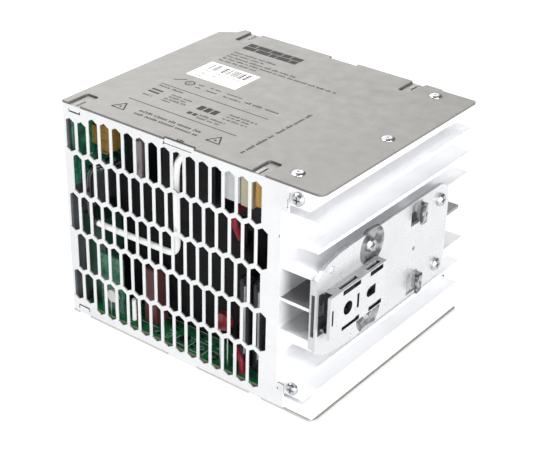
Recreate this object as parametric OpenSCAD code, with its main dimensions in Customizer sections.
// DIN rail power supply in a sheet-metal case, lying on its plain side panel.
// Inside these modules X runs from the front face to the rail, Y from the lower
// grille to the upper grille, and Z from the plain side panel to the printed one.

/* [Case] */
// Width over both side panels, along Z
case_w = 120; // [118:0.5:124]
// Height over both grilles, along Y
case_h = 130; // [128:1:136]
// Depth from the front face to the end of the grilles, along X
case_d = 133.5; // [132:0.5:136]
// Depth of the side panels, which also cover the heatsink fins
panel_d = 155; // [154:0.5:160]
// Thickness of the side panels
panel_t = 1.2; // [1:0.1:1.4]
// Thickness of the perforated grille sheets
grille_t = 0.8; // [0.6:0.1:1]

/* [Ventilation cells] */
// Rows of cells across the width
cell_rows = 5; // [3:1:5]
// Cells in each row
cell_columns = 16; // [8:1:16]
// Spacing of the cells along a row
cell_pitch = 7.67; // [7.5:0.01:7.7]
// Spacing of the rows
row_pitch = 22.2; // [22:0.1:22.4]
// Width of one cell
cell_w = 6.2; // [6:0.1:6.6]
// Length of one cell from tip to tip
cell_h = 21.7; // [20:0.1:22]

/* [Heatsink] */
// Depth of the tall fins, measured from the front face
fin_tip = 153.5; // [150:0.5:154]
// Thickness of a plain fin
fin_t = 1.7; // [1.4:0.1:2]
// Thickness of the two ribs that carry the rail adapter
rib_t = 5; // [4.5:0.5:6]
// Distance of those two ribs from the middle
rib_offset = 18.6; // [18:0.1:19]

/* [Rail adapter] */
// Outer face of the adapter plate, where the rail rests
seat_x = 155.6; // [155.2:0.1:156.4]
// Thickness of the adapter sheet
adapter_t = 1.6; // [1.4:0.1:1.8]
// Height of the raised channel over the rail seat
channel_h = 6; // [6:0.1:6.6]
// Width of the raised channel
channel_w = 22; // [21.6:0.1:22.2]
// Distance from the rail edge in the hooks to the catch, for a 35 mm rail
rail_w = 35; // [35:0.1:35.2]

/* [Foot catch] */
// Position of the catch, 0 is closed on the rail
catch_pull = 0; // [0:0.5:4]

/* [Front] */
// Thickness of the front cover wall
front_t = 2.4; // [2:0.1:2.6]
// Spacing of the supply terminals
input_pitch = 10.4; // [10:0.1:10.6]
// Spacing of the output terminals
output_pitch = 14; // [13:0.1:14.2]

/* [Hidden] */
$fn = 48;

clear = 0.1;
mid_z = case_w / 2;
inner_low = panel_t;
inner_high = case_w - panel_t;
catch_proud = 2.2;
adapter_top = seat_x + channel_h;
frame_x = -adapter_top / 2;
end_head_t = 2.3;
head_proud = end_head_t - grille_t;
frame_y = -(case_h + head_proud - catch_proud) / 2;

// Sheet outlines
corner_cut_x = 9.2;
corner_cut_y = 11.6;
far_step_x = 134.5;
far_step = 1.2;
// latches of each grille: low x, high x, how far the notch in the panel reaches in,
// and where the slot beside the bent tongue starts
near_latches = [[4, 12, 13.6, 7.9], [116.5, 124.2, 13, 119.1]];
far_latches = [[13.4, 21.4, 14.6, 16.9], [117, 125, 14.4, 120.4]];
latch_r = 1.6;
latch_slot = [1.3, 7.4];
latch_lip = 0.7;
rivet_places = [[134.2, 10.5], [145, case_h / 2], [136, case_h - 9]];
rivet_r = 1.6;
rivet_head_r = 2.5;
rivet_head_t = 0.7;
rivet_bore = 0.7;
edge_notch_x = 65;
edge_notch_w = 19;
far_notch_x = 67;
far_notch_w = 17;
far_notch_depth = 2.4;
ear_x = 137.4;
ear_z = 13;
flange_w = 8;
flange_end = 126.5;

// Heatsink
sink_base_front = 127.5;
sink_root = case_d;
boss_end = 148;
boss_z = 9.3;
sink_y0 = grille_t;
sink_len = case_h - 2 * grille_t;
fin_offsets = [31.4, 44.6];
end_screw_x = 142.3;
end_screw_high = 114;
end_screw_low = 14.3;
end_screw_r = 1.7;
rib_tip = seat_x - adapter_t;
mid_fin_tip = 150.2;
pocket_y = 40.8;
pocket_r = 10;
pocket_floor_r = 6.6;
pocket_depth = 2;
rib_notch = [pocket_y - 11.5, pocket_y + 11.5];
adapter_screw_y = 99.2;
screw_offset = 18.2;

// Rail adapter and catch
adapter_near = -catch_proud;
adapter_far = 108;
adapter_half = 26.2;
channel_far = 44.7;
hook_y = 81.3;
hook_window = [7.5, 12];
hook_offset = 19.3;
hook_w = 9.2;
hook_gap = 2.4;
hook_reach = 4.2;
rail_t = 1;
catch_t = 1.1;
catch_w = 20.6;
catch_nose_y = hook_y - rail_w + 1.3;
tail_top = rib_tip - 0.15;
riser_y = 39.8;
lug_y = [18.3, 19.8];
spring_r = 1.9;
spring_wire = 0.55;
spring_x = 157.4;
spring_turns = 8;
fit_gap = 0.05;

// Boards
board_t = 1.6;
main_board_z = 4.4;
main_top = main_board_z + board_t;
upper_board_z = inner_high - 3.6 - board_t;
front_board_x = 3.4;
standoff_places = [[10, 34], [121, 18], [10, 117], [122.6, 109]];
upper_standoff_places = [[38, 12], [118, 34], [38, 117], [121, 109]];
front_board_low = [1.8, 75];
front_board_high = [38.4, 112];
front_pins = [for (y = [5, 36]) for (z = [78, 109.6]) [y, z]];

// Front openings, each [low y, high y, low z, high z]
input_bay = [8, 28, 10, 56];
output_bay = [94, 114, 30, 90];
signal_bay = [24, 34, 82, 108];
trimmer_place = [14, 105];
light_places = [[14, 82], [14, 89], [14, 96]];

silver = [0.86, 0.87, 0.89];
zinc = [0.8, 0.81, 0.82];
champagne = [0.72, 0.7, 0.67];
board_green = [0.05, 0.36, 0.2];
board_teal = [0.2, 0.45, 0.38];
soot = [0.07, 0.07, 0.075];

// Puts a child drawn from the front lower corner into the part's own frame
module placed() {
    translate([frame_x, frame_y, 0]) children();
}

// Bar between two corners
module bar(low, high) {
    translate(low) cube(high - low);
}

// Rod along X, Y or Z
module rod_x(r, from, to) {
    translate([from, 0, 0]) rotate([0, 90, 0]) cylinder(r = r, h = to - from);
}

module rod_y(r, from, to) {
    translate([0, from, 0]) rotate([-90, 0, 0]) cylinder(r = r, h = to - from);
}

module rod_z(r, from, to) {
    translate([0, 0, from]) cylinder(r = r, h = to - from);
}

// ---- sheet-metal case ----

// Corner points of a quarter circle, counted in degrees from a start angle
function arc(centre, r, start, sweep, steps = 6) = [
    for (i = [0:steps]) centre + r * [cos(start + sweep * i / steps), sin(start + sweep * i / steps)]
];

module panel_outline() {
    near_r = 3.5;
    far_r = 2;
    difference() {
        polygon(concat(
            [[0, 0]],
            arc([panel_d - near_r, near_r], near_r, -90, 90),
            arc([panel_d - far_r, case_h - far_step - far_r], far_r, 0, 90),
            [[far_step_x, case_h - far_step], [far_step_x, case_h], [corner_cut_x, case_h],
             [corner_cut_x - 1.4, case_h - 5.4], [0, case_h - corner_cut_y]]
        ));
        translate([far_notch_x, case_h - far_notch_depth]) square([far_notch_w, far_notch_depth + 1]);
        translate([edge_notch_x, -1]) square([edge_notch_w, grille_t + 1.6]);
        for (l = near_latches) {
            latch_notch(l);
        }
        for (l = far_latches) {
            translate([0, case_h]) mirror([0, 1]) latch_notch(l);
        }
    }
}

// Notch with round inner corners, open to the edge of the panel
module latch_notch(l) {
    polygon(concat(
        [[l[0], -1], [l[1], -1]],
        arc([l[1] - latch_r, l[2] - latch_r], latch_r, 0, 90),
        arc([l[0] + latch_r, l[2] - latch_r], latch_r, 90, 90)
    ));
}

module side_panel(z) {
    difference() {
        translate([0, 0, z]) linear_extrude(panel_t) panel_outline();
        for (p = rivet_places) {
            translate(p) rod_z(rivet_r + clear, z - 1, z + panel_t + 1);
        }
    }
}

module side_panel_right() {
    color(champagne) placed() side_panel(inner_high);
}

// The plain panel is sunk for the rivet heads, so that it lies flat
module side_panel_left() {
    color(champagne) placed() difference() {
        side_panel(0);
        for (p = rivet_places) {
            translate(p) rod_z(rivet_head_r + clear, -1, rivet_head_t);
        }
    }
}

// Blind rivets set in the heatsink: domed on the printed panel, flush on the plain one
module panel_rivets() {
    grip = 5;
    dome = [[0, 0], [3.3, 0], [3.2, 0.3], [2.6, 0.65], [1.7, 0.85], [0, 0.9]];
    color("gainsboro") placed() for (p = rivet_places) {
        translate(p) {
            difference() {
                union() {
                    translate([0, 0, case_w]) rotate_extrude() polygon(dome);
                    rod_z(rivet_r, inner_high - grip, case_w);
                }
                rod_z(rivet_bore, case_w - 2.5, case_w + 2);
            }
            rod_z(rivet_head_r, 0, rivet_head_t);
            rod_z(rivet_r, rivet_head_t, inner_low + grip);
        }
    }
}

// Hexagon with vertical sides and 120 degree tips, shortened at either end
module cell(low_cut = 0, high_cut = 0) {
    half = cell_w / 2;
    tip = half * tan(30);
    shoulder = cell_h / 2 - tip;
    polygon([
        [half, low_cut - shoulder], [half, shoulder - high_cut], [0, shoulder + tip - high_cut],
        [-half, shoulder - high_cut], [-half, low_cut - shoulder], [0, low_cut - shoulder - tip]
    ]);
}

// Every cell of a grille that lies beyond the given depth. The first two of the
// outer rows stop short, below the lanced tabs.
module cells(from_x) {
    first_x = 4.3;
    short = 3.7;
    for (row = [0:cell_rows - 1]) {
        stagger = row % 2 == 0 ? 0 : cell_pitch / 2;
        for (column = [0:cell_columns - 1]) {
            x = first_x + stagger + column * cell_pitch;
            if (x - cell_w / 2 > from_x) {
                translate([x, mid_z + (row - (cell_rows - 1) / 2) * row_pitch]) cell(
                    low_cut = row == 0 && column < 2 ? short : 0,
                    high_cut = row == cell_rows - 1 && column < 2 ? short : 0
                );
            }
        }
    }
}

// U-shaped cut that frees a small tab at the corner of a grille
module lanced_tab(height) {
    tab_w = 8;
    cut = 0.8;
    square([tab_w, cut]);
    square([cut, height]);
    translate([tab_w - cut, 0]) square([cut, height]);
}

// A grille drawn flat in its own X and Z
module grille_sheet(from_x) {
    tab_x = from_x + 3.7;
    fold_z = 117;
    marks = [[133.4, 105], [132.2, 92], [136.2, 108], [133.4, 10.6]];
    difference() {
        union() {
            translate([from_x, inner_low]) square([case_d - from_x, inner_high - inner_low]);
            for (z = [inner_low, inner_high - ear_z]) {
                translate([case_d - 1, z]) square([ear_x - case_d + 1, ear_z]);
            }
        }
        cells(from_x);
        translate([tab_x, 115]) lanced_tab(1.7);
        translate([tab_x, 5.4]) mirror([0, 1]) lanced_tab(2.4);
        // line of the folded tongue, with its relief at one end
        translate([edge_notch_x, fold_z]) square([edge_notch_w - 2, 0.35]);
        translate([edge_notch_x - 0.5, fold_z - 0.6]) square([1, 1.6]);
        for (m = marks) {
            translate(m) square([0.9, m[0] > 136 ? 4.2 : 1.1]);
        }
    }
}

// What a grille shows in one latch notch: a leaf of the flange with a slot, and a
// lip bent up along the slot. It is drawn for the flange under the printed panel.
module latch_leaf(l) {
    edge = 0.35;
    top = inner_high;
    difference() {
        bar([l[0] + edge, grille_t - 0.1, top - grille_t], [l[1] - edge, l[2] - edge, top]);
        bar([l[3], 0.6, top - 1], [l[3] + latch_slot[0], 0.6 + latch_slot[1], top + 1]);
    }
    bar([l[3] - 0.9, 1.2, top - 0.1], [l[3], latch_slot[1] - 0.4, top + latch_lip]);
}

// A grille with the two flanges that lie inside the side panels. The lower grille
// also has the tongue that fills the notch in the edge of each side panel.
module grille(from_x, tongue, latches) {
    flange_start = from_x + 4;
    rotate([90, 0, 0]) translate([0, 0, -grille_t]) linear_extrude(grille_t) grille_sheet(from_x);
    for (upper = [0, 1]) {
        translate([0, 0, upper * case_w]) mirror([0, 0, upper]) difference() {
            bar([flange_start, grille_t, inner_low], [flange_end, flange_w, inner_low + grille_t]);
            for (l = latches) {
                bar([l[3], 0.6, 0], [l[3] + latch_slot[0], 0.6 + latch_slot[1], 2 * inner_low]);
            }
        }
        translate([0, 0, (1 - upper) * case_w]) mirror([0, 0, 1 - upper]) for (l = latches) {
            latch_leaf(l);
        }
    }
    if (tongue) {
        for (z = [panel_t - grille_t, inner_high]) {
            bar([edge_notch_x + 0.8, 0, z], [edge_notch_x + edge_notch_w - 0.8, grille_t, z + grille_t]);
        }
    }
}

module bottom_grille() {
    color(silver) placed() grille(0, true, near_latches);
}

module top_grille() {
    color(silver) placed() translate([0, case_h, 0]) mirror([0, 1, 0]) grille(corner_cut_x, false, far_latches);
}

// Paper label with the bar code, stuck on the printed side panel
module rating_label() {
    color("white") placed() bar([24.5, 63, case_w], [56, 83.5, case_w + 0.12]);
}

// ---- front ----

// Wall outline in X and Y: a flat front and a sloping corner above it
module front_wall() {
    slope = [corner_cut_x - clear, case_h - grille_t];
    foot = case_h - corner_cut_y - 0.6;
    face = 0.2;
    polygon([
        [face, grille_t], [front_t, grille_t], [front_t, foot - 0.9],
        [slope[0] + 3.6, slope[1]], [slope[0], slope[1]], [face, foot]
    ]);
}

module bay(b, depth) {
    bar([-1, b[0], b[2]], [depth, b[1], b[3]]);
}

module front_cover() {
    vents = 7;
    color([0.2, 0.21, 0.22]) placed() difference() {
        union() {
            translate([0, 0, inner_low]) linear_extrude(inner_high - inner_low) front_wall();
            for (p = front_pins) {
                translate([0, p[0], p[1]]) {
                    rod_x(2.8, front_t - 0.5, front_board_x);
                    rod_x(1.1, front_t, front_board_x + board_t + 0.5);
                }
            }
        }
        bay(input_bay, front_t + 1);
        bay(output_bay, front_t + 1);
        bay(signal_bay, front_t + 1);
        translate([0, trimmer_place[0], trimmer_place[1]]) rod_x(3.3, -1, front_t + 1);
        for (p = light_places) {
            translate([0, p[0], p[1]]) rod_x(1.6, -1, front_t + 1);
        }
        for (i = [0:vents - 1]) {
            bar([-1, 38 + i * 7, 16], [front_t + 1, 41 + i * 7, 50]);
        }
    }
}

// Screw terminals side by side on a skirt that stands on the main board. Each has
// a wire hole below and a screw well above.
module terminal_block(b, pitch, poles, depth, wire_r, screw_r) {
    first_z = (b[2] + b[3]) / 2 - (poles - 1) * pitch / 2;
    wire_y = b[0] + 6.4;
    screw_y = b[1] - 5.4;
    difference() {
        union() {
            bar([0.4, b[0] + clear, b[2] + clear], [depth, b[1] - clear, b[3] - clear]);
            bar([6.4, b[0] + clear, main_top], [depth, b[1] - clear, b[3] - clear]);
        }
        for (i = [0:poles - 1]) {
            z = first_z + i * pitch;
            translate([0, wire_y, z]) rod_x(wire_r, -1, 12);
            translate([0, screw_y, z]) rod_x(screw_r, -1, 10);
            bar([12, wire_y - 3, z - 3.2], [15, screw_y + 3, z + 3.2]);
            if (i > 0) {
                bar([-1, b[0] - 1, z - pitch / 2 - 0.3], [1.6, b[1] + 1, z - pitch / 2 + 0.3]);
            }
        }
    }
}

module input_terminal_block() {
    color([0.16, 0.42, 0.27]) placed() terminal_block(input_bay, input_pitch, 4, 17, 2.2, 2.6);
}

module output_terminal_block() {
    color([0.16, 0.42, 0.27]) placed() terminal_block(output_bay, output_pitch, 4, 17, 2.8, 3.2);
}

module signal_terminal_block() {
    poles = 4;
    pitch = 6;
    mid = (signal_bay[2] + signal_bay[3]) / 2;
    color([0.16, 0.42, 0.27]) placed() difference() {
        bar([0.4, signal_bay[0] + clear, signal_bay[2] + clear],
            [front_board_x, signal_bay[1] - clear, signal_bay[3] - clear]);
        for (i = [0:poles - 1]) {
            z = mid + (i - 1.5) * pitch;
            bar([-1, signal_bay[0] + 2, z - 1.3], [2.6, signal_bay[0] + 4.6, z + 1.3]);
            bar([-1, signal_bay[1] - 3.6, z - 1], [1.4, signal_bay[1] - 1.6, z + 1]);
        }
    }
}

// Slotted clamp screws standing in the wells of one block
module clamp_screw_row(b, pitch, poles, r) {
    first_z = (b[2] + b[3]) / 2 - (poles - 1) * pitch / 2;
    for (i = [0:poles - 1]) {
        translate([0, b[1] - 5.4, first_z + i * pitch]) difference() {
            rod_x(r, 3, 10);
            bar([2, -r - 1, -0.45], [4.4, r + 1, 0.45]);
        }
    }
}

module terminal_screws() {
    color("silver") placed() {
        clamp_screw_row(input_bay, input_pitch, 4, 2.4);
        clamp_screw_row(output_bay, output_pitch, 4, 3);
    }
}

module clamp_row(b, pitch, poles) {
    first_z = (b[2] + b[3]) / 2 - (poles - 1) * pitch / 2;
    for (i = [0:poles - 1]) {
        z = first_z + i * pitch;
        bar([12, b[0] + 3.6, z - 3], [15, b[1] - 2.6, z + 3]);
    }
}

// Nickel-plated clamp bars behind the wire holes
module terminal_clamps() {
    color([0.78, 0.76, 0.7]) placed() {
        clamp_row(input_bay, input_pitch, 4);
        clamp_row(output_bay, output_pitch, 4);
    }
}

// Domed light pipes standing on the front board
module status_lights() {
    color([0.55, 0.9, 0.5]) placed() for (p = light_places) {
        translate([0, p[0], p[1]]) rod_x(1.5, 0.2, front_board_x);
    }
}

module trimmer_body() {
    color([0.15, 0.3, 0.7]) placed() difference() {
        bar([front_t + 0.1, trimmer_place[0] - 3.6, trimmer_place[1] - 3.6],
            [front_board_x, trimmer_place[0] + 3.6, trimmer_place[1] + 3.6]);
        translate([0, trimmer_place[0], trimmer_place[1]]) rod_x(1 + fit_gap, 0, front_board_x + 1);
    }
}

// Screwdriver knob of the output-voltage trimmer
module trimmer_knob() {
    color([0.93, 0.93, 0.9]) placed() translate([0, trimmer_place[0], trimmer_place[1]]) difference() {
        union() {
            rod_x(2.8, 0.6, front_t);
            rod_x(1, front_t, front_board_x - 0.1);
        }
        bar([0, -3.5, -0.4], [1.5, 3.5, 0.4]);
    }
}

// ---- boards ----

module front_board() {
    color(board_teal) placed() difference() {
        bar([front_board_x, front_board_low[0], front_board_low[1]],
            [front_board_x + board_t, front_board_high[0], front_board_high[1]]);
        for (p = front_pins) {
            translate([0, p[0], p[1]]) rod_x(1.1 + fit_gap, 0, 10);
        }
    }
}

module main_board() {
    color(board_green) placed() difference() {
        translate([0, 0, main_board_z]) linear_extrude(board_t)
            polygon([[6, 1.8], [126.4, 1.8], [126.4, 128], [13, 128], [6, 119]]);
        for (p = standoff_places) {
            translate(p) rod_z(1.7, 0, 10);
        }
    }
}

module upper_board() {
    color(board_green) placed() difference() {
        bar([30, 1.8, upper_board_z], [126.4, 128, upper_board_z + board_t]);
        for (p = upper_standoff_places) {
            translate(p) rod_z(1.7, 100, case_w);
        }
    }
}

module board_standoffs() {
    color("silver") placed() {
        for (p = standoff_places) {
            translate(p) difference() {
                rod_z(3, inner_low, main_board_z);
                rod_z(1.35, inner_low - 1, main_board_z + 1);
            }
        }
        for (p = upper_standoff_places) {
            translate(p) difference() {
                rod_z(3, upper_board_z + board_t, inner_high);
                rod_z(1.35, upper_board_z, inner_high + 1);
            }
        }
    }
}

// Pan-head screws through the boards into their standoffs
module board_screws() {
    color("gainsboro") placed() {
        for (p = standoff_places) {
            translate(p) {
                rod_z(1.3, inner_low + 0.3, main_top);
                rod_z(2.7, main_top, main_top + 1.8);
            }
        }
        for (p = upper_standoff_places) {
            translate(p) {
                rod_z(1.3, upper_board_z, inner_high - 0.3);
                rod_z(2.7, upper_board_z - 1.8, upper_board_z);
            }
        }
    }
}

// Small upright board behind the lower grille, with its header along the foot
module control_board() {
    color([0.18, 0.55, 0.36]) placed() {
        bar([17.2, 4, main_top], [32, 5.6, 39.5]);
        bar([18, 5.6, main_top], [31.2, 8.1, main_top + 2.5]);
    }
}

// ---- heatsink ----

module sink_profile() {
    translate([sink_base_front, inner_low]) square([sink_root - sink_base_front, inner_high - inner_low]);
    for (side = [-1, 1]) {
        for (offset_z = fin_offsets) {
            translate([sink_root - 1, mid_z + side * offset_z - fin_t / 2])
                square([fin_tip - sink_root + 1, fin_t]);
        }
        translate([sink_root - 1, mid_z + side * rib_offset - rib_t / 2])
            square([rib_tip - sink_root + 1, rib_t]);
    }
    translate([sink_root - 1, mid_z - fin_t / 2]) square([mid_fin_tip - sink_root + 1, fin_t]);
    translate([sink_root - 1, inner_low]) square([fin_tip - sink_root + 1, fin_t]);
    translate([sink_root - 1, inner_high - fin_t]) square([fin_tip - sink_root + 1, fin_t]);
    // screw bosses under the top fin and under the lowest but one
    translate([sink_root - 1, inner_high - boss_z]) square([boss_end - sink_root + 1, boss_z]);
    translate([sink_root - 1, mid_z - fin_offsets[1] - 6]) square([boss_end - sink_root + 1, 6]);
    // rivet bed along the plain side panel
    translate([sink_root - 1, inner_low]) square([boss_end - sink_root + 1, 6]);
}

module heatsink() {
    color([0.88, 0.88, 0.9]) placed() difference() {
        translate([0, sink_y0 + sink_len, 0]) rotate([90, 0, 0]) linear_extrude(sink_len) sink_profile();
        for (side = [-1, 1]) {
            z = mid_z + side * rib_offset;
            bar([rib_tip - pocket_depth - 0.4, rib_notch[0], z - rib_t], [seat_x, rib_notch[1], z + rib_t]);
            bar([rib_tip - 3, hook_y - hook_window[0] - 0.6, z - rib_t], [seat_x, hook_y + 3, z + rib_t]);
            for (y = [pocket_y, adapter_screw_y]) {
                translate([0, y, mid_z + side * screw_offset]) rod_x(1.6 + fit_gap, 140, seat_x);
            }
        }
        for (y0 = [-1, case_h - 13]) {
            for (z = [end_screw_high, end_screw_low]) {
                translate([end_screw_x, 0, z]) rod_y(end_screw_r + fit_gap, y0, y0 + 14);
            }
        }
        for (p = rivet_places) {
            translate(p) rod_z(rivet_r + fit_gap, inner_high - 5.4, case_w);
            translate(p) rod_z(rivet_r + fit_gap, 0, inner_low + 5.4);
        }
        for (z = transistor_z) {
            translate([0, clamp_y, z]) rod_x(1.4 + fit_gap, sink_base_front - 1, sink_base_front + 4.4);
        }
    }
}

// Cross-recessed pan head on a shank, standing on the plane x = 0 and pointing to -X
module pan_screw(shank_r, head_r, head_t, length) {
    difference() {
        union() {
            rod_x(shank_r, -length, 0);
            rod_x(head_r, 0, head_t * 0.6);
            translate([head_t * 0.6, 0, 0]) rotate([0, 90, 0])
                cylinder(r1 = head_r, r2 = head_r * 0.72, h = head_t * 0.4);
        }
        for (turn = [0, 90]) {
            rotate([turn, 0, 0]) bar([head_t * 0.45, -head_r * 0.55, -0.35], [head_t + 1, head_r * 0.55, 0.35]);
        }
    }
}

module heatsink_end_screws() {
    color("gainsboro") placed() for (z = [end_screw_high, end_screw_low]) {
        translate([end_screw_x, sink_y0, z]) rotate([0, 0, -90])
            pan_screw(end_screw_r, 3.2, end_head_t, 10);
        translate([end_screw_x, case_h - sink_y0, z]) rotate([0, 0, 90])
            pan_screw(end_screw_r, 3.2, end_head_t, 10);
    }
}

// ---- rail adapter ----

// Outline in Y and Z, measured from the middle of the plate
module adapter_outline() {
    far_r = 9;
    near_side = [[adapter_near, 19], [1.6, 22], [6, 24], [14, 25.6], [24, adapter_half]];
    steps = len(near_side) - 1;
    polygon(concat(
        [for (p = near_side) [p[0], -p[1]]],
        arc([adapter_far - far_r, far_r - adapter_half], far_r, -90, 90),
        arc([adapter_far - far_r, adapter_half - far_r], far_r, 0, 90),
        [for (i = [0:steps]) near_side[steps - i]]
    ));
}

// Extrudes an outline drawn in Y and Z along X
module along_x(from, to) {
    translate([from, 0, 0]) rotate([90, 0, 90]) linear_extrude(to - from) children();
}

// Dished seat for a screw, pressed into the plate
module pocket(side) {
    floor_x = seat_x - pocket_depth;
    translate([0, pocket_y, side * screw_offset]) rotate([0, 90, 0]) rotate_extrude()
        polygon([
            [1.8, floor_x - adapter_t], [pocket_floor_r, floor_x - adapter_t],
            [pocket_r + 0.6, seat_x - adapter_t], [pocket_r + 0.6, seat_x], [pocket_r, seat_x],
            [pocket_floor_r - 0.4, floor_x], [1.8, floor_x]
        ]);
}

// Raised channel over the catch: two walls and a pierced roof, with slots that
// also open the upper part of the walls
module channel() {
    wall_near = 4;
    roof_near = 0.2;
    half = channel_w / 2;
    inner = half - adapter_t;
    roof_low = adapter_top - adapter_t;
    slots = [[9.9, 23.7], [31.3, 41.7]];
    slot_z = [8.1, 10.5];
    opened = 2.4;
    difference() {
        union() {
            for (side = [-1, 1]) {
                wall = side > 0 ? inner : -half;
                bar([seat_x - adapter_t, wall_near, wall], [roof_low + 0.5, channel_far, wall + adapter_t]);
            }
            bar([roof_low, roof_near, -half], [adapter_top, channel_far, half]);
            bar([seat_x - 0.4, lug_y[0], -4], [roof_low + 0.5, lug_y[1], 4]);
        }
        bar([roof_low - 1, 1.6, -4], [adapter_top + 1, 2.8, 4]);
        for (s = slots) {
            for (side = [0, 1]) {
                mirror([0, 0, side]) {
                    bar([roof_low - 1, s[0], slot_z[0]], [adapter_top + 1, s[1], slot_z[1]]);
                    bar([roof_low - opened, s[0], inner - 1], [roof_low, s[1], half + 1]);
                }
            }
        }
        translate([0, 14.1, 0]) rod_x(3.4, roof_low - 1, adapter_top + 1);
        bar([roof_low - 1, 21.3, -3.8], [adapter_top + 1, 23, 3.8]);
        translate([0, 31.6, 0]) rod_x(2.6, roof_low - 1, adapter_top + 1);
        bar([roof_low - 1, 31.6, -2.6], [adapter_top + 1, 36.2, 2.6]);
    }
}

// Hook lanced out of the plate: it rises and reaches back over the rail edge
module hook(side) {
    z = side * hook_offset;
    translate([0, 0, z - hook_w / 2]) linear_extrude(hook_w) polygon([
        [seat_x - adapter_t, hook_y], [seat_x + hook_gap, hook_y],
        [seat_x + hook_gap + 0.5, hook_y - hook_reach], [seat_x + hook_gap + 1.9, hook_y - hook_reach],
        [seat_x + hook_gap + adapter_t, hook_y + 0.4], [seat_x + hook_gap + 0.7, hook_y + adapter_t],
        [seat_x - adapter_t, hook_y + adapter_t]
    ]);
}

module rail_adapter() {
    base_x = seat_x - adapter_t;
    flange_depth = 3.7;
    flange_half = 18;
    slack = 0.15;
    slot_half = 11;
    color(zinc) placed() translate([0, 0, mid_z]) difference() {
        union() {
            difference() {
                union() {
                    along_x(base_x, seat_x) adapter_outline();
                    bar([seat_x - flange_depth, adapter_near, -flange_half],
                        [base_x + 0.5, adapter_near + adapter_t, flange_half]);
                }
                // the sheet under the channel was lanced out to make it
                bar([base_x - 1, adapter_near + adapter_t, -channel_w / 2],
                    [seat_x + 1, channel_far, channel_w / 2]);
                // slot of the end flange, where the tail of the catch can be reached
                bar([tail_top - catch_t - slack, adapter_near - 1, -slot_half],
                    [seat_x - 1, adapter_near + adapter_t + 0.1, slot_half]);
                for (side = [-1, 1]) {
                    z = side * hook_offset;
                    bar([base_x - 1, hook_y - hook_window[0] + 0.2, z - hook_window[1] / 2],
                        [seat_x + 1, hook_y + adapter_t, z + hook_window[1] / 2]);
                    translate([0, pocket_y, side * screw_offset]) rod_x(pocket_r, base_x - 1, seat_x + 1);
                }
            }
            channel();
            intersection() {
                union() {
                    pocket(1);
                    pocket(-1);
                }
                along_x(base_x - pocket_depth - 2, seat_x) difference() {
                    adapter_outline();
                    translate([adapter_near - 1, -channel_w / 2 + 0.2])
                        square([channel_far + 4, channel_w - 0.4]);
                }
            }
            hook(1);
            hook(-1);
        }
        for (side = [-1, 1]) {
            translate([0, adapter_screw_y, side * screw_offset]) rod_x(1.8, base_x - 1, seat_x + 1);
        }
        translate([0, 9, 19.7]) rod_x(1.9, base_x - 1, seat_x + 1);
        translate([0, 78, 0]) rod_x(1.1, base_x - 1, seat_x + 1);
    }
}

module adapter_screws() {
    color("gainsboro") placed() for (side = [-1, 1]) {
        z = mid_z + side * screw_offset;
        translate([seat_x, adapter_screw_y, z]) pan_screw(1.6, 3.3, 2.3, 10);
        translate([seat_x - pocket_depth, pocket_y, z]) pan_screw(1.6, 3.6, 2.4, 9);
    }
}

// Sliding catch: a tail under the plate, a riser inside the channel and a nose
// that closes over the edge of the rail. The tail narrows past the screw pockets.
module foot_catch() {
    tail_low = tail_top - catch_t;
    riser_t = 1.8;
    shoulder_y = 23.3;
    narrow_w = 17;
    nose_low = seat_x + rail_t + 0.7;
    nose_high = adapter_top - adapter_t - 0.3;
    nose_w = channel_w - 2 * adapter_t - 0.8;
    color([0.7, 0.71, 0.72]) placed() translate([0, -catch_pull, mid_z]) difference() {
        union() {
            bar([tail_low, adapter_near + 0.6, -catch_w / 2], [tail_top, shoulder_y, catch_w / 2]);
            bar([tail_low, shoulder_y - 1, -narrow_w / 2], [tail_top, riser_y + riser_t, narrow_w / 2]);
            translate([0, 0, -nose_w / 2]) linear_extrude(nose_w) polygon([
                [tail_low, riser_y], [nose_high, riser_y], [nose_high, catch_nose_y - 0.9],
                [nose_low + 0.8, catch_nose_y], [nose_low, catch_nose_y - 0.8],
                [nose_low, riser_y + riser_t], [tail_low, riser_y + riser_t]
            ]);
        }
        // slot for the blade of a screwdriver
        bar([tail_low - 1, 3, -4], [tail_top + 1, 6.4, 4]);
    }
}

// Coil spring between the lug of the channel and the riser of the catch
module catch_spring() {
    ring_steps = 10;
    steps = spring_turns * ring_steps;
    sides = 6;
    margin = spring_wire / 2 + 0.05;
    from = lug_y[1] + margin;
    span = riser_y - catch_pull - lug_y[1] - 2 * margin;
    centre = [for (i = [0:steps]) [
        spring_x + spring_r * cos(360 * i / ring_steps),
        from + span * i / steps,
        mid_z + spring_r * sin(360 * i / ring_steps)
    ]];
    color([0.6, 0.61, 0.63]) placed() tube(centre, spring_wire / 2, sides);
}

// Tube swept along a list of points, its rings kept square to the path
function unit(v) = v / norm(v);
function heading(path, i) = unit(path[min(i + 1, len(path) - 1)] - path[max(i - 1, 0)]);
function carried(side, along) = unit(side - along * (side * along));
function sides_along(path, first) = [
    for (i = 0, s = carried(first, heading(path, 0)); i < len(path);
         i = i + 1, s = i < len(path) ? carried(s, heading(path, i)) : s) s
];

module tube(path, r, sides, first = [0.3, 0.2, 1]) {
    across = sides_along(path, first);
    rings = [for (i = [0:len(path) - 1]) let (up = cross(heading(path, i), across[i]))
        for (k = [0:sides - 1]) path[i] + r * (cos(360 * k / sides) * across[i] + sin(360 * k / sides) * up)];
    last = (len(path) - 1) * sides;
    skin = [for (i = [0:len(path) - 2]) for (k = [0:sides - 1]) let (n = (k + 1) % sides)
        [i * sides + k, i * sides + n, (i + 1) * sides + n, (i + 1) * sides + k]];
    polyhedron(
        points = rings,
        faces = concat([[for (k = [sides - 1:-1:0]) k]], skin, [[for (k = [0:sides - 1]) last + k]])
    );
}

// ---- power components ----

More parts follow.
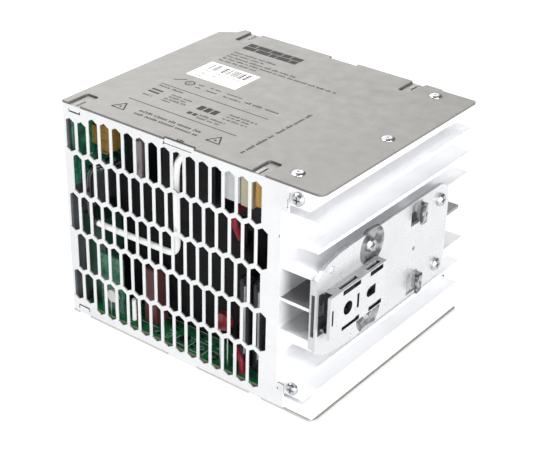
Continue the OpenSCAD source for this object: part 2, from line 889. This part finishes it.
core_x = [42, 92];
core_y = [34, 58];
core_z = [main_top + 3, main_top + 59];
leg_half = 8;
window_half = 17;
window_z = [core_z[0] + 8, core_z[1] - 8];

module transformer_core() {
    mid = (core_x[0] + core_x[1]) / 2;
    color([0.12, 0.12, 0.13]) placed() difference() {
        bar([core_x[0], core_y[0], core_z[0]], [core_x[1], core_y[1], core_z[1]]);
        for (side = [-1, 1]) {
            low = side > 0 ? mid + leg_half : mid - window_half;
            bar([low, core_y[0] - 1, window_z[0]], [low + window_half - leg_half, core_y[1] + 1, window_z[1]]);
        }
    }
}

// Winding wrapped round the middle leg and bulging out of the core
module transformer_coil() {
    mid = (core_x[0] + core_x[1]) / 2;
    bulge = 11;
    r = 5;
    half = window_half - 0.3;
    color(soot) placed() translate([0, 0, window_z[0]]) linear_extrude(window_z[1] - window_z[0])
        difference() {
            hull() {
                for (x = [mid - half + r, mid + half - r]) {
                    for (y = [core_y[0] - bulge + r, core_y[1] + bulge - r]) {
                        translate([x, y]) circle(r);
                    }
                }
            }
            translate([mid - leg_half, core_y[0]]) square([2 * leg_half, core_y[1] - core_y[0]]);
        }
}

module transformer_bobbin() {
    color([0.1, 0.1, 0.1]) placed() difference() {
        bar([core_x[0] + 4, core_y[0] - 11, main_top], [core_x[1] - 4, core_y[1] + 11, core_z[0]]);
        bar([core_x[0] + 10, core_y[0] - 6, main_top - 1], [core_x[1] - 10, core_y[1] + 6, core_z[0] + 1]);
    }
}

choke_r = 17;
choke_at = [109.2, 52, main_top + choke_r + 1];

module choke_core() {
    color([0.25, 0.45, 0.3]) placed() translate(choke_at) rotate([90, 0, 0]) rotate_extrude()
        translate([9.6, -6]) square([choke_r - 9.6 - 2.6, 12]);
}

// Winding wrapped round the ring core, open where its two leads leave it
module choke_winding() {
    color([0.66, 0.33, 0.12]) placed() translate(choke_at) rotate([90, 0, 0]) difference() {
        rotate_extrude(angle = 300) difference() {
            translate([7.4, -8.4]) square([choke_r - 7.4, 16.8]);
            translate([9.5, -6.1]) square([choke_r - 9.4 - 2.6, 12.2]);
        }
    }
}

// Cradle that holds the wound ring on the board
module choke_base() {
    half = 10;
    color([0.12, 0.12, 0.12]) placed() translate([choke_at[0], choke_at[1], 0]) difference() {
        bar([-half, -half, main_top], [half, half, main_top + 3.4]);
        translate([0, 0, choke_at[2]]) rod_y(choke_r + fit_gap, -half - 1, half + 1);
    }
}

module filter_choke() {
    color(soot) placed() {
        bar([52, 12, 84], [92, 46, upper_board_z]);
        bar([56, 9.6, 88], [88, 12, upper_board_z - 4]);
    }
}

// Upright electrolytic capacitor: sleeve rolled over the edge of a shallow top
module electrolytic(place, r, base, height) {
    translate([place[0], place[1], base]) rotate_extrude() polygon([
        [0, 0], [r - 0.4, 0], [r, 0.8], [r, 3], [r - 0.6, 3.8], [r, 4.6],
        [r, height - 0.8], [r - 0.8, height], [r - 2, height], [r - 2.2, height - 0.4], [0, height - 0.4]
    ]);
}

module bulk_capacitors() {
    color(soot) placed() for (x = [36, 70, 104]) {
        electrolytic([x, 104], 16, main_top, 62);
    }
}

module output_capacitors() {
    color(soot) placed() {
        electrolytic([105.5, 12.5], 3.9, main_top, 49);
        electrolytic([113.9, 12.5], 3.9, main_top, 49);
        electrolytic([108.5, 27], 7.6, main_top, 44);
    }
}

module film_capacitor() {
    color([0.45, 0.22, 0.22]) placed() bar([42, 9, main_top], [50, 18, 37.5]);
}

module filter_capacitor() {
    color([0.86, 0.83, 0.7]) placed() bar([105, 7, 95.5], [112, 22, upper_board_z]);
}

module yellow_capacitor() {
    color([0.85, 0.6, 0.1]) placed() translate([116.3, 9, 0]) hull() {
        rod_z(3.4, 99, upper_board_z);
        translate([0, 9, 0]) rod_z(3.4, 99, upper_board_z);
    }
}

module can_capacitor() {
    color([0.7, 0.66, 0.68]) placed() translate([42.5, 8, upper_board_z]) mirror([0, 0, 1])
        electrolytic([0, 0], 2.6, 0, 26);
}

module relay() {
    color([0.93, 0.94, 0.95]) placed() bar([95.5, 7, 96], [104.4, 24, upper_board_z]);
}

module auxiliary_transformer() {
    color([0.8, 0.6, 0.2]) placed() {
        bar([front_board_x + board_t, 14, 93.5], [10, 20, 103.5]);
        bar([10, 13, 92], [17.5, 21, 105]);
        bar([11, 12.2, 90.8], [16.5, 21.8, 92]);
        bar([11, 12.2, 105], [16.5, 21.8, 106.2]);
    }
}

module varistor() {
    color([0.75, 0.12, 0.1]) placed() {
        translate([97.3, 0, 30.7]) rod_y(4.6, 3.6, 6.6);
        for (x = [95, 99.6]) {
            translate([x, 5.1, 0]) rod_z(0.4, main_top, 28);
        }
    }
}

module ceramic_disc() {
    color([0.93, 0.93, 0.92]) placed() {
        translate([26.4, 0, 18]) rod_y(3.4, 1.6, 3.6);
        for (x = [24.8, 28]) {
            translate([x, 2.6, 0]) rod_z(0.35, main_top, 16);
        }
    }
}

module fuse() {
    color([0.92, 0.9, 0.84]) placed() translate([0, 84, main_top + 6]) rod_x(2.4, 26, 48);
}

module fuse_clips() {
    color([0.8, 0.78, 0.7]) placed() for (x = [27, 42.5]) {
        difference() {
            bar([x, 80.4, main_top], [x + 4.5, 87.6, main_top + 8]);
            translate([0, 84, main_top + 6]) rod_x(2.4, x - 1, x + 6);
            bar([x - 1, 82.6, main_top + 6], [x + 6, 85.4, main_top + 9]);
        }
    }
}

// Row of power transistors pressed against the heatsink by one sprung bar
transistor_z = [28, 50, 72, 94];
clamp_y = 92;
pad_t = 0.3;

module power_transistors() {
    back = sink_base_front - pad_t;
    color(soot) placed() for (z = transistor_z) {
        difference() {
            bar([back - 5, 76, z - 8], [back, 97, z + 8]);
            translate([0, clamp_y, z]) rod_x(1.8, back - 6, back + 1);
        }
    }
}

module insulating_pad() {
    color([0.75, 0.78, 0.8]) placed() difference() {
        bar([sink_base_front - pad_t, 72, 16], [sink_base_front, 100, 106]);
        for (z = transistor_z) {
            translate([0, clamp_y, z]) rod_x(1.8, sink_base_front - 1, sink_base_front + 1);
        }
    }
}

module transistor_clamp() {
    back = sink_base_front - pad_t - 5;
    color([0.75, 0.76, 0.78]) placed() difference() {
        bar([back - 1.2, 87, 18], [back, 97, 104]);
        for (z = transistor_z) {
            translate([0, clamp_y, z]) rod_x(1.6, back - 3, back + 1);
        }
    }
}

module clamp_screws() {
    back = sink_base_front - pad_t - 6.2;
    color("gainsboro") placed() for (z = transistor_z) {
        translate([back, clamp_y, z]) rotate([0, 0, 180]) pan_screw(1.4, 2.8, 2, 10);
    }
}

// Insulating sheet between the boards' edges and the heatsink
module heatsink_insulator() {
    color([0.85, 0.85, 0.8, 0.8]) placed()
        bar([sink_base_front - 0.6, 3, 8], [sink_base_front, 70, 108]);
}

// Black sheet that stands on the main board in front of the transformer
module insulating_sheet() {
    color(soot) placed() bar([18, 20, main_top], [99, 20.8, 81]);
}

// Stiff link in front of the boards: a black boot from the front board, then a
// white sleeve from there to the upper board. The two meet at a square cut.
link_y = 5;
link_r = 1.6;
link_cut = [16, link_y, 55.5];
boot_route = [
    [front_board_x + board_t, 26.5, 83.4], [7.5, 26.5, 83.4], [12, 25, 83.6], [17, 20, 84.4],
    [19.4, 13, 85.6], [19, 8, 86.2], [17, 6, 86.2], [13, link_y, 84], [11, link_y, 79],
    [10.6, link_y, 70], [10.8, link_y, 62], [12, link_y, 57.4], [14, link_y, 55.5], link_cut
];
link_route = [
    link_cut, [22, link_y, 55.5], [34, link_y, 55.6], [46, link_y, 55.9], [57, link_y, 56.2],
    [63, link_y, 56.4], [66.6, link_y, 58], [68.2, link_y, 62], [68.2, link_y, 70],
    [68, link_y, 84], [68.2, link_y, 98], [69.2, link_y, 106], [70.6, 6.4, 109.4],
    [71, 7, 111.6], [71, 7, upper_board_z]
];

module link_boot() {
    color(soot) placed() tube(boot_route, link_r, 8);
}

module sleeved_link() {
    color([0.93, 0.93, 0.92]) placed() tube(link_route, link_r, 8);
}

// Red lead from the upper board down to the main board, and the dark sleeve pushed
// over the middle of it. The red ends meet the sleeve at square cuts.
lead_r = 1.4;
lead_sleeve_r = 1.8;
lead_high_cut = [103, 9.8, 76];
lead_low_cut = [101.8, 7.8, 21];
lead_high_route = [
    [101, 28, upper_board_z], [101, 28, 108], [101, 28, 100], [101, 26.6, 94.4], [101, 22, 91.8],
    [101.2, 14, 91.4], [101.6, 8.6, 90.2], [102.5, 6.1, 87.2], [102.8, 6.2, 84], [102.9, 8, 80],
    lead_high_cut
];
lead_middle_route = [
    lead_high_cut, [103.1, 11.6, 72], [103.3, 15, 68], [103.5, 18, 62], [103.5, 18, 50],
    [103.5, 18, 36], [101, 17, 30], [99.6, 13.5, 26], [100.2, 9, 23.4], lead_low_cut
];
lead_low_route = [
    lead_low_cut, [103.4, 6.6, 18.6], [105.8, 5.5, 15.6], [108.2, 5, 12.6], [108.8, 4.9, 9],
    [108.8, 4.9, main_top]
];

module red_lead() {
    color([0.72, 0.08, 0.16]) placed() {
        tube(lead_high_route, lead_r, 8);
        tube(lead_low_route, lead_r, 8);
    }
}

module lead_sleeve() {
    color(soot) placed() tube(lead_middle_route, lead_sleeve_r, 8);
}

side_panel_right();
side_panel_left();
bottom_grille();
top_grille();
panel_rivets();
rating_label();
front_cover();
input_terminal_block();
output_terminal_block();
signal_terminal_block();
terminal_screws();
terminal_clamps();
status_lights();
trimmer_body();
trimmer_knob();
front_board();
main_board();
upper_board();
board_standoffs();
board_screws();
control_board();
heatsink();
heatsink_end_screws();
rail_adapter();
adapter_screws();
foot_catch();
catch_spring();
transformer_core();
transformer_coil();
transformer_bobbin();
choke_core();
choke_winding();
choke_base();
filter_choke();
bulk_capacitors();
output_capacitors();
film_capacitor();
filter_capacitor();
yellow_capacitor();
can_capacitor();
relay();
auxiliary_transformer();
varistor();
ceramic_disc();
fuse();
fuse_clips();
power_transistors();
insulating_pad();
transistor_clamp();
clamp_screws();
heatsink_insulator();
insulating_sheet();
link_boot();
sleeved_link();
red_lead();
lead_sleeve();
